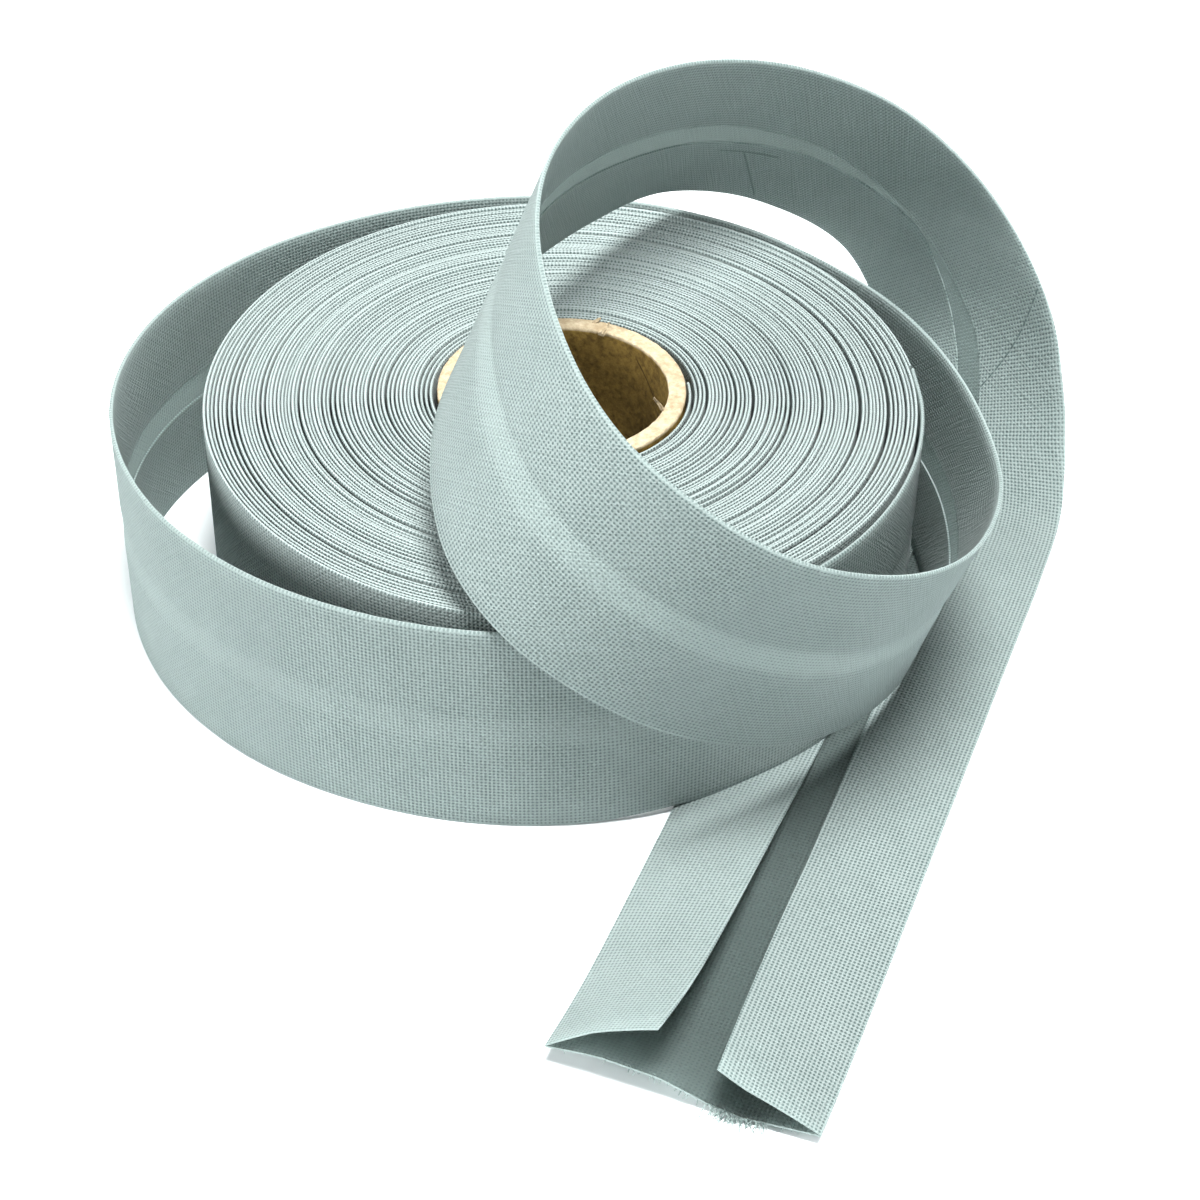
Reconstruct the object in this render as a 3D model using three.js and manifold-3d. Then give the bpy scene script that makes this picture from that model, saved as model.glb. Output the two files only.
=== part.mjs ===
// A roll of bias binding: cotton tape with both edges folded in, wound on a card tube,
// with its outer end let off in one standing turn, a turn that climbs over the roll,
// an open loop in the air and a tail that lies on the table under the roll.
// Millimetres, +Z up. The roll stands on its turn edges, with z = 0 on the table. Sizes are
// given from the roll's axis, and the whole is then moved so that its box is centred.

import * as THREE from "three";
import { mergeVertices } from "three/addons/utils/BufferGeometryUtils.js";
import Module from "manifold-3d";

// Driving dimensions
const ROLL_AXIS = [-8.4, 26.6]; // the roll's axis, seen from the middle of the whole
const TAPE_WIDTH = 40;          // across the folded tape, fold to fold
const TAIL_WIDTH = 41.5;        // the tail has relaxed and lies a little wider
const BASE_THICK = 0.5;         // the tape's full-width layer
const FLAP_THICK = 0.5;         // each folded-in edge
const FOLD_SPACE = 0.3;         // between the layers
const TAPE_THICK = BASE_THICK + FOLD_SPACE + FLAP_THICK;
const FLAP_WIDTH = 17.5;        // from the fold to the raw edge
const FLAP_SHARES = [0.34, 0.67, 1];  // where a flap's width is divided
const FOLD_ROUND = 0.3;         // the folds' outer corners
const STEP = 8;                 // between two sections along the tape
const TWIST_STEP = 4;           // the same where it twists down to the table
const TAIL_STEP = 7;            // the same along the opened tail
const STANDING_STEP = 7.5;      // degrees between two sections of the standing turn

const FLAP_OPEN_END = 32;       // degrees that the flaps stand open at the cut end
const FLAP_OPEN_LENGTH = 52;    // along the tail, over which they close again
const BASE_LIFT_END = 1.6;      // the raw end's rise off the table
const BASE_LIFT_LENGTH = 26;

const ROLL_HEIGHT = 40;
const ROLL_INNER = 21.1;        // first turn, just clear of the card tube
const ROLL_OUTER = 59.1;        // last wound turn where the loose end parts from it
const SPIRAL_GAIN = 0.8;        // what the last turn adds once round
const PARTING_ANGLE = 12;       // degrees, where the loose end parts from the roll
const STEP_ANGLE = 3;           // degrees, over which the spiral's step falls back
const ROLL_STEPS = 66;
const GROOVE_HALF = 0.35;       // half width of a slack place between two turns

const CORE_OUTER = 20.75;
const CORE_INNER = 17.8;
const CORE_PROUD = 0.7;         // the card tube stands this much above the turns
const CORE_CHAMFER = 0.5;
const CORE_STEPS = 56;

// The tail runs under the roll: the turns stand pressed up over it
const TAIL_TURN = 20;           // degrees that its line is turned from +Y towards +X
const TAIL_NEAR = 38;           // from the axis to the tail's left-hand edge
const PRESSED_FROM = 37;        // from the axis to the pressed part's straight edge
const PRESSED_HEIGHT = TAPE_THICK + 0.35;

// Main bundles of turns, from the tube outwards: outer radius, height of their edges, and
// the depth of the slack place outside each
const BUNDLES = [
  { outer: 23.4, height: 40.3, slack: 0.7 },
  { outer: 28.4, height: 39.9, slack: 1.3 },
  { outer: 31.0, height: 40.2, slack: 0.8 },
  { outer: 37.2, height: 39.7, slack: 0.6 },
  { outer: 43.4, height: 40.1, slack: 1.4 },
  { outer: 49.7, height: 39.8, slack: 1.1 },
  { outer: 54.7, height: 40.2, slack: 0.8 },
  { outer: 59.1, height: 39.9, slack: 0.0 },
];

// The standing turn, clockwise from the parting: degrees round the axis, distance from
// it to the tape's middle, and how high its lower edge stands
const STANDING_TURN = [
  { at: 8, radius: 60.3, foot: 1.75 },
  { at: -20, radius: 60.4, foot: 1.75 },
  { at: -45, radius: 60.7, foot: 1.75 },
  { at: -73, radius: 61.3, foot: 1.75 },
  { at: -84, radius: 61.7, foot: 0.3 },
  { at: -97, radius: 62.6, foot: 0 },
  { at: -117, radius: 65.0, foot: 0 },
  { at: -138, radius: 68.9, foot: 0 },
  { at: -158, radius: 72.5, foot: 0 },
  { at: -177, radius: 74.3, foot: 0 },
  { at: -195, radius: 73.1, foot: 0 },
  { at: -214, radius: 69.4, foot: 0 },
  { at: -233, radius: 65.4, foot: 0 },
  { at: -250, radius: 63.0, foot: 0 },
  { at: -268, radius: 61.7, foot: 0 },
  { at: -288, radius: 61.2, foot: 0 },
];

// From the back of the roll to the cut end: the tape's lower edge and its upper edge, which
// is the tail's right-hand edge
const LOOSE_RUN = [
  { where: "parts from the back", low: [35.2, 50, 0], top: [35.2, 50, 40] },
  { where: "right of the roll, behind", low: [55.2, 28, 2.3], top: [56.6, 28.6, 40] },
  { where: "right of the roll", low: [63.6, 1, 1.9], top: [67.4, 4, 40] },
  { where: "leans out", low: [59, -25, 2.2], top: [70.8, -22.5, 40] },
  { where: "lifts off the table", low: [47, -45.5, 7.5], top: [64, -44.5, 43.5] },
  { where: "climbs over the front", low: [31, -60.5, 16.5], top: [50.5, -61, 51.5] },
  { where: "middle of the front", low: [12, -67.5, 28], top: [32.5, -69.5, 62] },
  { where: "comes to the rim", low: [-6, -64.5, 40], top: [14.5, -66.5, 74] },
  { where: "over the rim", low: [-15.5, -54, 47], top: [5, -57, 81] },
  { where: "over the left of the tube", low: [-19, -32, 52], top: [-2, -35.5, 88] },
  { where: "turns edge on", low: [-15, -9, 54], top: [-1.5, -12, 91] },
  { where: "swings back", low: [-7.5, 14, 53.5], top: [7.5, 11, 90] },
  { where: "back of the loop", low: [4, 34.5, 51], top: [22.5, 29.5, 85.5] },
  { where: "comes down", low: [17.5, 53, 46.5], top: [41, 43, 77] },
  { where: "outside the roll", low: [35.5, 66, 37], top: [60, 50.5, 64.5] },
  { where: "right of the back", low: [53.5, 71, 23], top: [77, 49.5, 47.5] },
  { where: "turns forward", low: [61, 62, 8], top: [88, 41, 29] },
  { where: "meets the table", low: [58, 47.5, 2.2], top: [91, 31.5, 13] },
  { where: "slides under the roll", low: [52.2, 32.6, 0.65], top: [90.4, 18.5, 1.6] },
];

// Places on the straight tail, measured along it from the point nearest the axis
const TAIL_STOPS = [30, 10, -20, -50, -76, -103.8];
const TAIL_STRAIGHT = 3;        // the first stops, between which it lies flat and straight

const COLOURS = {
  cloth: 0xa9b9b2,
  wound: 0x9fb0aa,
  card: 0xb59b78,
};

const wasm = await Module();
wasm.setup();

const radians = THREE.MathUtils.degToRad;

function clothMaterial(name, colour) {
  const material = new THREE.MeshStandardMaterial({ color: colour, roughness: 0.95, metalness: 0 });
  material.name = name;
  return material;
}

function geometryFrom(points, faces) {
  const geometry = new THREE.BufferGeometry();
  geometry.setAttribute("position", new THREE.Float32BufferAttribute(points, 3));
  geometry.setIndex(faces);
  return geometry;
}

function solidFrom(geometry) {
  const merged = mergeVertices(geometry, 1e-4);
  const vertProperties = new Float32Array(merged.attributes.position.array);
  const triVerts = new Uint32Array(merged.index.array);
  return new wasm.Manifold(new wasm.Mesh({ numProp: 3, vertProperties, triVerts }));
}

function geometryOf(solid) {
  const mesh = solid.getMesh();
  return geometryFrom(Array.from(mesh.vertProperties), Array.from(mesh.triVerts));
}

// A ring of cross-sections, closed on itself; each section is a loop of [radius, height]
function ringGeometry(sections, angles) {
  const points = [];
  const faces = [];
  const size = sections[0].length;
  sections.forEach((section, i) => {
    const angle = angles[i];
    for (const [radius, height] of section) {
      points.push(radius * Math.cos(angle), radius * Math.sin(angle), height);
    }
  });
  for (let i = 0; i < sections.length; i += 1) {
    const here = i * size;
    const next = ((i + 1) % sections.length) * size;
    for (let k = 0; k < size; k += 1) {
      const along = (k + 1) % size;
      faces.push(here + k, next + k, next + along);
      faces.push(here + k, next + along, here + along);
    }
  }
  return geometryFrom(points, faces);
}

// How far the wound spiral has grown at an angle, 0 just past the parting and 1 just before it
function spiralShare(degrees) {
  const past = THREE.MathUtils.euclideanModulo(PARTING_ANGLE - degrees, 360);
  const full = 360 - STEP_ANGLE;
  return past < full ? past / full : (360 - past) / STEP_ANGLE;
}

// The edges of the turns, from the tube out: bundle tops with slack places between them
function turnProfile(gain) {
  const profile = [[ROLL_INNER, 0.4], [ROLL_INNER + 0.4, 0]];
  const rim = ROLL_OUTER + gain;
  profile.push([rim - 0.4, 0], [rim, 0.4]);
  const tops = [];
  let inner = ROLL_INNER;
  for (const bundle of BUNDLES) {
    const last = bundle.outer === ROLL_OUTER;
    const outer = bundle.outer + gain;
    tops.push([inner + GROOVE_HALF, bundle.height]);
    tops.push([last ? outer - 0.3 : outer - GROOVE_HALF, bundle.height]);
    tops.push(last ? [outer, bundle.height - 0.3] : [outer, bundle.height - bundle.slack]);
    inner = outer;
  }
  tops.unshift([ROLL_INNER, BUNDLES[0].height - 0.3]);
  return profile.concat(tops.reverse());
}

function woundRoll() {
  const sections = [];
  const angles = [];
  for (let i = 0; i < ROLL_STEPS; i += 1) {
    const degrees = PARTING_ANGLE + STEP_ANGLE + i * (360 - STEP_ANGLE) / (ROLL_STEPS - 1);
    const gain = SPIRAL_GAIN * spiralShare(degrees);
    sections.push(turnProfile(gain));
    angles.push(radians(degrees));
  }
  const turns = solidFrom(ringGeometry(sections, angles));
  const reach = 2 * ROLL_OUTER;
  const pressed = new THREE.BoxGeometry(reach, 2 * reach, 2 * PRESSED_HEIGHT);
  pressed.deleteAttribute("normal");
  pressed.deleteAttribute("uv");
  pressed.translate(PRESSED_FROM + reach / 2, 0, 0);
  pressed.rotateZ(-radians(TAIL_TURN));
  return geometryOf(turns.subtract(solidFrom(pressed)));
}

function cardTube() {
  const top = ROLL_HEIGHT + CORE_PROUD;
  const section = [
    [CORE_INNER, CORE_CHAMFER],
    [CORE_INNER + CORE_CHAMFER, 0],
    [CORE_OUTER - CORE_CHAMFER, 0],
    [CORE_OUTER, CORE_CHAMFER],
    [CORE_OUTER, top - CORE_CHAMFER],
    [CORE_OUTER - CORE_CHAMFER, top],
    [CORE_INNER + CORE_CHAMFER, top],
    [CORE_INNER, top - CORE_CHAMFER],
  ];
  const angles = Array.from({ length: CORE_STEPS }, (_, i) => radians(i * 360 / CORE_STEPS));
  return ringGeometry(angles.map(() => section), angles);
}

// The folded tape across its width: the base below, both edges folded over it, each flap
// turned open about its fold by an angle. Points run round the closed outline, and the
// layers are divided at the same places, so that they stay apart where the tape twists.
function foldedSection(width, openAngle) {
  const half = width / 2;
  const bottom = -TAPE_THICK / 2;
  const baseTop = bottom + BASE_THICK;
  const flapUnder = baseTop + FOLD_SPACE;
  const flapTop = flapUnder + FLAP_THICK;
  const foldInside = half - BASE_THICK;
  const open = radians(openAngle);
  const onFlap = (fromFold, height) => {
    const reach = fromFold * Math.cos(open) - (height - baseTop) * Math.sin(open);
    const rise = fromFold * Math.sin(open) + (height - baseTop) * Math.cos(open);
    return [half - reach, baseTop + rise];
  };
  const divisions = FLAP_SHARES.map((share) => FLAP_WIDTH * share);
  const inward = divisions.slice().reverse();
  const right = [
    ...inward.map((fromFold) => [half - fromFold, bottom]),
    [half - FOLD_ROUND, bottom],
    [half, bottom + FOLD_ROUND],
    onFlap(0, flapTop - FOLD_ROUND),
    onFlap(FOLD_ROUND, flapTop),
    ...divisions.map((fromFold) => onFlap(fromFold, flapTop)),
    ...inward.map((fromFold) => onFlap(fromFold, flapUnder)),
    [foldInside, flapUnder],
    [foldInside, baseTop],
    ...divisions.map((fromFold) => [half - fromFold, baseTop]),
  ];
  const left = right.map(([across, height]) => [-across, height]).reverse();
  return right.concat(left);
}

// The standing turn, eased between its rows in angle, distance and foot
function standingRows() {
  const polar = STANDING_TURN.map(({ at, radius, foot }) => new THREE.Vector3(at, radius, foot));
  const eased = new THREE.CatmullRomCurve3(polar);
  const turned = STANDING_TURN[0].at - STANDING_TURN[STANDING_TURN.length - 1].at;
  const steps = Math.round(turned / STANDING_STEP);
  return Array.from({ length: steps + 1 }, (_, i) => {
    const { x: at, y: radius, z: foot } = eased.getPoint(i / steps);
    const x = radius * Math.cos(radians(at));
    const y = radius * Math.sin(radians(at));
    const onTable = Math.max(0, foot);
    const low = new THREE.Vector3(x, y, onTable);
    return { low, top: new THREE.Vector3(x, y, ROLL_HEIGHT), step: STEP };
  });
}

// The tail, flat on the table on a straight line past the axis
function tailRows() {
  const turn = radians(TAIL_TURN);
  const along = new THREE.Vector3(Math.sin(turn), Math.cos(turn), 0);
  const across = new THREE.Vector3(Math.cos(turn), -Math.sin(turn), 0);
  return TAIL_STOPS.map((stop, i) => {
    const low = across.clone().multiplyScalar(TAIL_NEAR).addScaledVector(along, stop);
    low.z = TAPE_THICK / 2;
    const step = i < TAIL_STRAIGHT ? 2 * STEP : TAIL_STEP;
    return { low, top: low.clone().addScaledVector(across, TAIL_WIDTH), step };
  });
}

function stations() {
  const twistsFrom = LOOSE_RUN.findIndex(({ where }) => where === "outside the roll");
  const loose = LOOSE_RUN.map(({ low, top }, i) => {
    const step = i < twistsFrom ? STEP : TWIST_STEP;
    return { low: new THREE.Vector3(...low), top: new THREE.Vector3(...top), step };
  });
  return [...standingRows(), ...loose, ...tailRows()];
}

// Sections along the tape: middle, direction across and direction to the flap side
function tapeFrames() {
  const rows = stations();
  const lowEdge = new THREE.CatmullRomCurve3(rows.map((row) => row.low));
  const topEdge = new THREE.CatmullRomCurve3(rows.map((row) => row.top));
  const spans = rows.length - 1;
  const samples = [];
  for (let i = 0; i < spans; i += 1) {
    const span = rows[i].low.clone().add(rows[i].top);
    span.sub(rows[i + 1].low).sub(rows[i + 1].top);
    const steps = Math.max(1, Math.round(span.length() / 2 / rows[i].step));
    for (let k = 0; k < steps; k += 1) {
      samples.push((i + k / steps) / spans);
    }
  }
  samples.push(1);
  const edges = samples.map((share) => ({ low: lowEdge.getPoint(share), top: topEdge.getPoint(share) }));
  const middles = edges.map(({ low, top }) => low.clone().add(top).multiplyScalar(0.5));
  return edges.map(({ low, top }, i) => {
    const before = middles[Math.max(0, i - 1)];
    const after = middles[Math.min(middles.length - 1, i + 1)];
    const along = after.clone().sub(before).normalize();
    const across = top.clone().sub(low);
    const width = across.length();
    across.addScaledVector(along, -across.dot(along)).normalize();
    const inward = along.clone().cross(across).normalize();
    return { middle: middles[i], across, inward, width };
  });
}

function looseTape() {
  const frames = tapeFrames();
  const lengths = [0];
  for (let i = 1; i < frames.length; i += 1) {
    lengths.push(lengths[i - 1] + frames[i].middle.distanceTo(frames[i - 1].middle));
  }
  const full = lengths[lengths.length - 1];
  const outline = foldedSection(TAPE_WIDTH, 0);
  const size = outline.length;
  const points = [];
  const faces = [];
  frames.forEach(({ middle, across, inward, width }, i) => {
    const toEnd = full - lengths[i];
    const openShare = Math.max(0, 1 - toEnd / FLAP_OPEN_LENGTH);
    const liftShare = Math.max(0, 1 - toEnd / BASE_LIFT_LENGTH);
    const fitted = THREE.MathUtils.clamp(width, TAPE_WIDTH - 2, TAIL_WIDTH);
    const section = foldedSection(fitted, FLAP_OPEN_END * openShare ** 1.2);
    for (const [side, height] of section) {
      const point = middle.clone().addScaledVector(across, side).addScaledVector(inward, height);
      const lifted = point.z + BASE_LIFT_END * liftShare ** 2;
      points.push(point.x, point.y, Math.max(0, lifted));
    }
  });
  for (let i = 0; i < frames.length - 1; i += 1) {
    const here = i * size;
    const next = here + size;
    for (let k = 0; k < size; k += 1) {
      const round = (k + 1) % size;
      // every layer is split along the same diagonal, whichever way its points run
      const outward = outline[round][0] > outline[k][0];
      const [a, b, c, d] = [here + k, here + round, next + round, next + k];
      faces.push(...(outward ? [a, b, c, a, c, d] : [a, b, d, b, c, d]));
    }
  }
  const cap = THREE.ShapeUtils.triangulateShape(outline.map((at) => new THREE.Vector2(...at)), []);
  const last = (frames.length - 1) * size;
  for (const [a, b, c] of cap) {
    faces.push(a, c, b);
    faces.push(last + a, last + b, last + c);
  }
  return geometryFrom(points, faces);
}

function piece(name, geometry, material) {
  geometry.translate(ROLL_AXIS[0], ROLL_AXIS[1], 0);
  const mesh = new THREE.Mesh(geometry, material);
  mesh.name = name;
  return mesh;
}

const biasBindingRoll = new THREE.Group();
biasBindingRoll.add(piece("card_tube", cardTube(), clothMaterial("card", COLOURS.card)));
biasBindingRoll.add(piece("wound_roll", woundRoll(), clothMaterial("wound_cloth", COLOURS.wound)));
biasBindingRoll.add(piece("loose_tape", looseTape(), clothMaterial("cloth", COLOURS.cloth)));

export default biasBindingRoll;
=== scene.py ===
import math

import bpy
import numpy as np
from mathutils import Matrix, Vector


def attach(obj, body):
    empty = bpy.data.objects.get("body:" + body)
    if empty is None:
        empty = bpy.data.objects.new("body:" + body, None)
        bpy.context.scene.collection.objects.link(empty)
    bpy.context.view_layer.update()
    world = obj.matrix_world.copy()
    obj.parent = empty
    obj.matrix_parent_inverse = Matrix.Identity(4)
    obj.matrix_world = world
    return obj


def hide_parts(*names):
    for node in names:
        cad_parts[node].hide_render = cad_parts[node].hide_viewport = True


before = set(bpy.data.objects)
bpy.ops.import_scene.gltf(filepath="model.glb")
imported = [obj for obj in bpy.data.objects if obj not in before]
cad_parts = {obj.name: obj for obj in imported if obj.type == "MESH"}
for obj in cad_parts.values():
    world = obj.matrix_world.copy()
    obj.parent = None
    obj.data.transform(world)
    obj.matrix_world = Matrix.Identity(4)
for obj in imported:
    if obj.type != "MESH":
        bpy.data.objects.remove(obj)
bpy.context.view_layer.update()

# Sizes are in millimetres from the roll's axis; the model is in metres
MM = 0.001
ROLL_AXIS = (-8.4, 26.6)        # where that axis stands in the frame

TAPE_WIDTH = 40.0               # across the folded tape
WIDTH_GIVE = 1.4                # its two edges' rows may lie this much closer
TAIL_WIDTH = 41.5               # the tail has relaxed a little
CAD_THICK = 1.3                 # the frame's tape, whose outer face this one shares
CLOTH = 0.28                    # one layer
LAYER_STEP = 0.38               # from the full-width layer to a folded-in edge
SECTION_STEP = 1.6              # between two sections along the tape
STANDING_STEP = 7.5             # degrees between the standing turn's rows
# where half of the full-width layer is divided, from its middle
BASE_PLACES = (0, 1.2, 2.3, 3.0, 3.6, 4.3, 6.5, 9, 12, 15, 17.5)
FOLD_STEPS = 4                  # divisions round a fold
FLAP_STEPS = 7                  # divisions across a folded-in edge

LEFT_OPEN_END = 31.0            # degrees that the folded-in edges stand open at the cut end
RIGHT_OPEN_END = 27.0
LEFT_SPARE_END = 2.2            # the left one is folded in this much further there
LEFT_OPEN_LENGTH = 84.0         # how far from the cut end they start to open
RIGHT_OPEN_LENGTH = 52.0
BASE_LIFT_LENGTH = 26.0         # and the full-width layer to lift
LEFT_POWER = 1.1                # how fast each opens towards the end
RIGHT_POWER = 1.2
CURL_START = 1.17               # an opened edge curls over a little towards its raw side
CURL_LOSS = 0.34
RAW_EDGE_LIFT = 0.35            # the most that a raw edge waves up from the layer under it
RAW_EDGE_WAVE = 16              # sections from one wave to the next
BAND_HALF = 3.3                 # half of the band where no folded edge backs the cloth
BAND_EASE = 1.4
BAND_SUNK = 0.16                # how deep the cloth dips there

ROLL_HEIGHT = 40.0
ROLL_INNER = 21.1
ROLL_OUTER = 59.9
TURNS = 56
TURN_THICK = 0.51               # two layers pressed together
TURN_NEAREST = 0.045            # between one turn and the next where they lie closest
LOOSE_POWER = 3                 # the higher, the fewer turns lie loose
TURN_WANDER = 0.05              # each turn lies a little nearer or farther here and there
TURN_STEPS = 128                # sections in one wound turn
TOP_UNEVEN = 0.42               # how much one turn's edge stands above another's
TOP_GENTLE = 0.30
FOOT_UNEVEN = 0.12
FOOT_ROUND = 0.26
ROUND_CLOTH = 0.30              # cloth taken up by the rounding
END_ANGLE = 9.0                 # degrees, where the wound part ends

CORE_OUTER = 20.75              # radius of the card tube
CORE_INNER = 17.8               # radius of its bore
CORE_HEIGHT = 40.7
CORE_SIDES = 144
CARD_DEPTH = 0.3                # relief of the card's grain
RIM_EASE = 0.35                 # rounding of its rims
WORN_DEPTH = 1.2                # of the rim below the top
RIM_WEAR = 0.06
TORN_TIP = 0.08                 # radius of a torn sliver's tip
TORN_RAGGED = 0.22

TAIL_TURN = 20.0                # degrees that the tail's line is turned from +Y towards +X
TAIL_NEAR = 38.0                # from the axis to the tail's nearer edge
PRESSED_FROM = 36.5             # turns beyond this line lie on the tail
PRESSED_EASE = 1.2
PRESSED_HEIGHT = 1.1            # how far the tail lifts them

FRAYED_THREADS = 120
THREAD_THICK = 0.12
THREAD_TAPER = 0.6
THREAD_LOWEST = 0.05            # above the table
THREAD_SECTIONS = 6
THREAD_CORNERS = 4

WEAVE_PITCH = 0.46              # between two threads
WEAVE_DEPTH = 0.22              # relief of the weave
WEAVE_AND_SHADE_PALER = 0.8               # how far each of these moves the cloth towards its pale tone
SLUB_PALER = 0.5
MOTTLE_PALER = 0.3
STRIPE_PAINTED_LIGHT = 0.16             # painted light: the single layer between the folded edges drawn paler, as if lit through
# painted highlight: how much paler the cloth is drawn along its folded edges
FOLD_PAINTED_HIGHLIGHT = 0.35
LINE_DARKER = 1.3
PALE_CLOTH = (0.505, 0.605, 0.588)
DEEP_CLOTH = (0.140, 0.210, 0.203)
THREAD_GLOW = (0.80, 0.90, 0.875)     # light that has come through a layer

VIEW_TARGET = (7.0, -30.5, 20.0)      # the photo's view, with its lift and roll in degrees
VIEW_DISTANCE = 423.4
VIEW_LIFT = 39.9
VIEW_ROLL = 1.05

# The standing turn, clockwise from the parting: degrees, distance of the tape's middle
# from the axis, height of its lower edge, and the space between the raw edges
STANDING_TURN = [
    dict(at=8, radius=59.5, foot=1.1, gap=5.0),
    dict(at=-20, radius=60.0, foot=1.1, gap=5.0),
    dict(at=-45, radius=60.6, foot=1.1, gap=5.0),
    dict(at=-73, radius=61.3, foot=1.1, gap=5.0),
    dict(at=-84, radius=61.7, foot=0.3, gap=5.0),
    dict(at=-97, radius=62.6, foot=0, gap=5.0),
    dict(at=-117, radius=65.0, foot=0, gap=5.0),
    dict(at=-138, radius=68.9, foot=0, gap=5.0),
    dict(at=-158, radius=72.5, foot=0, gap=5.2),
    dict(at=-177, radius=74.3, foot=0, gap=5.4),
    dict(at=-195, radius=73.1, foot=0, gap=5.0),
    dict(at=-214, radius=69.4, foot=0, gap=5.0),
    dict(at=-233, radius=65.4, foot=0, gap=5.0),
    dict(at=-250, radius=63.0, foot=0, gap=5.0),
    dict(at=-268, radius=61.7, foot=0, gap=5.0),
    dict(at=-288, radius=61.2, foot=0, gap=5.0),
]

# From the back of the roll to the table: the tape's lower and upper edge
LOOSE_RUN = [
    dict(where="parts from the back", low=(35.2, 50, 0), top=(35.2, 50, 40), gap=5.0),
    dict(where="right of the roll, behind", low=(55.2, 28, 1.4), top=(56.6, 28.6, 40), gap=5.0),
    dict(where="right of the roll", low=(63.6, 1, 1.2), top=(67.4, 4, 40), gap=5.0),
    dict(where="leans out", low=(59, -25, 2.2), top=(70.8, -22.5, 40), gap=5.0),
    dict(where="lifts off the table", low=(47, -45.5, 7.5), top=(64, -44.5, 43.5), gap=5.0),
    dict(where="climbs over the front", low=(31, -60.5, 16.5), top=(50.5, -61, 51.5), gap=5.0),
    dict(where="middle of the front", low=(12, -67.5, 28), top=(32.5, -69.5, 62), gap=5.0),
    dict(where="comes to the rim", low=(-6, -64.5, 40), top=(14.5, -66.5, 74), gap=5.0),
    dict(where="over the rim", low=(-15.5, -54, 47), top=(5, -57, 81), gap=5.0),
    dict(where="over the left of the tube", low=(-19, -32, 52), top=(-2, -35.5, 88), gap=5.0),
    dict(where="turns edge on", low=(-15, -9, 54), top=(-1.5, -12, 91), gap=5.0),
    dict(where="swings back", low=(-7.5, 14, 53.5), top=(7.5, 11, 90), gap=5.0),
    dict(where="back of the loop", low=(4, 34.5, 51), top=(22.5, 29.5, 85.5), gap=5.2),
    dict(where="comes down", low=(17.5, 53, 46.5), top=(41, 43, 77), gap=5.0),
    dict(where="outside the roll", low=(35.5, 66, 37), top=(60, 50.5, 64.5), gap=3.4),
    dict(where="right of the back", low=(53.5, 71, 23), top=(77, 49.5, 47.5), gap=0.8),
    dict(where="turns forward", low=(61, 62, 8), top=(88, 41, 29), gap=5.0),
    dict(where="meets the table", low=(58, 47.5, 2.2), top=(91, 31.5, 13), gap=5.0),
    dict(where="slides under the roll", low=(52.2, 32.6, 0.65), top=(90.4, 18.5, 1.6), gap=5.0),
]

# Along the straight tail, from the point nearest the axis
TAIL_STOPS = [
    dict(stop=30, gap=5.0),
    dict(stop=10, gap=5.0),
    dict(stop=-20, gap=5.2),
    dict(stop=-50, gap=5.8),
    dict(stop=-76, gap=6.2),
    dict(stop=-103.8, gap=6.5),
]

# A turn's upper edge: place in its thickness, depth under the top, and place across the cloth
TURN_EDGE = [
    dict(side=-1, below=0.28, cloth=0.30),
    dict(side=-0.62, below=0.07, cloth=0.16),
    dict(side=0, below=0.0, cloth=0.0),
    dict(side=0.62, below=0.07, cloth=-0.16),
    dict(side=1, below=0.28, cloth=-0.30),
]

# How high the cut end curls off the table, across the tape
END_LIFT = [
    dict(across=-21, lift=3.2),
    dict(across=-13, lift=4.4),
    dict(across=-4, lift=3.8),
    dict(across=3, lift=1.6),
    dict(across=9, lift=0.6),
    dict(across=21, lift=1.9),
]

# Slack places between the turns: distance from the axis, the angle where each is widest,
# and how wide it is there
SLACK = [
    dict(radius=21.8, at=150, wide=0.34),
    dict(radius=22.6, at=20, wide=0.26),
    dict(radius=23.4, at=200, wide=0.34),
    dict(radius=26.1, at=310, wide=0.12),
    dict(radius=28.4, at=60, wide=0.30),
    dict(radius=31.0, at=170, wide=0.24),
    dict(radius=32.3, at=15, wide=0.12),
    dict(radius=35.6, at=250, wide=0.10),
    dict(radius=37.2, at=130, wide=0.28),
    dict(radius=38.9, at=40, wide=0.12),
    dict(radius=43.4, at=110, wide=0.32),
    dict(radius=44.6, at=275, wide=0.12),
    dict(radius=47.6, at=210, wide=0.14),
    dict(radius=49.7, at=160, wide=0.28),
    dict(radius=51.1, at=345, wide=0.12),
    dict(radius=54.7, at=190, wide=0.24),
    dict(radius=55.9, at=70, wide=0.10),
    dict(radius=57.7, at=225, wide=0.20),
]

# Slivers torn up from the card tube's rim
TORN_CARD = [
    dict(at=68, radius=18.6, rise=0.1, wide=1.3, long=2.8, lean=72, turn=80),
    dict(at=74, radius=20.2, rise=0.3, wide=0.9, long=1.6, lean=50, turn=20),
    dict(at=340, radius=17.2, rise=0.9, wide=0.7, long=3.2, lean=35, turn=-70),
]

# Lines on the cloth, in millimetres along the tape and across the cut strip: the slanting
# joins of the bias strips, and the shade of a crease at a raw edge, painted as a dark line. A stitch
# makes a line dashed.
CLOTH_LINES = [
    dict(what="join on the loop", start=(674.2, -34.6), end=(688.7, -21.6), wide=0.16, stitch=0),
    # painted shade: this crease is only a dark line drawn on the cloth
    dict(what="edge crease by the join", start=(667.9, -34.7), end=(682.3, -35.2), wide=0.22, stitch=0),
    dict(what="stitched join", start=(732.2, 21.0), end=(748.3, 37.0), wide=0.14, stitch=2.2),
]

# A hairline crack down the bore, in millimetres round it from +X and up from the table
BORE_CRACK = dict(what="crack", start=(14.0, 37.6), end=(7.8, 31.5), wide=0.14, stitch=0)

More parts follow.
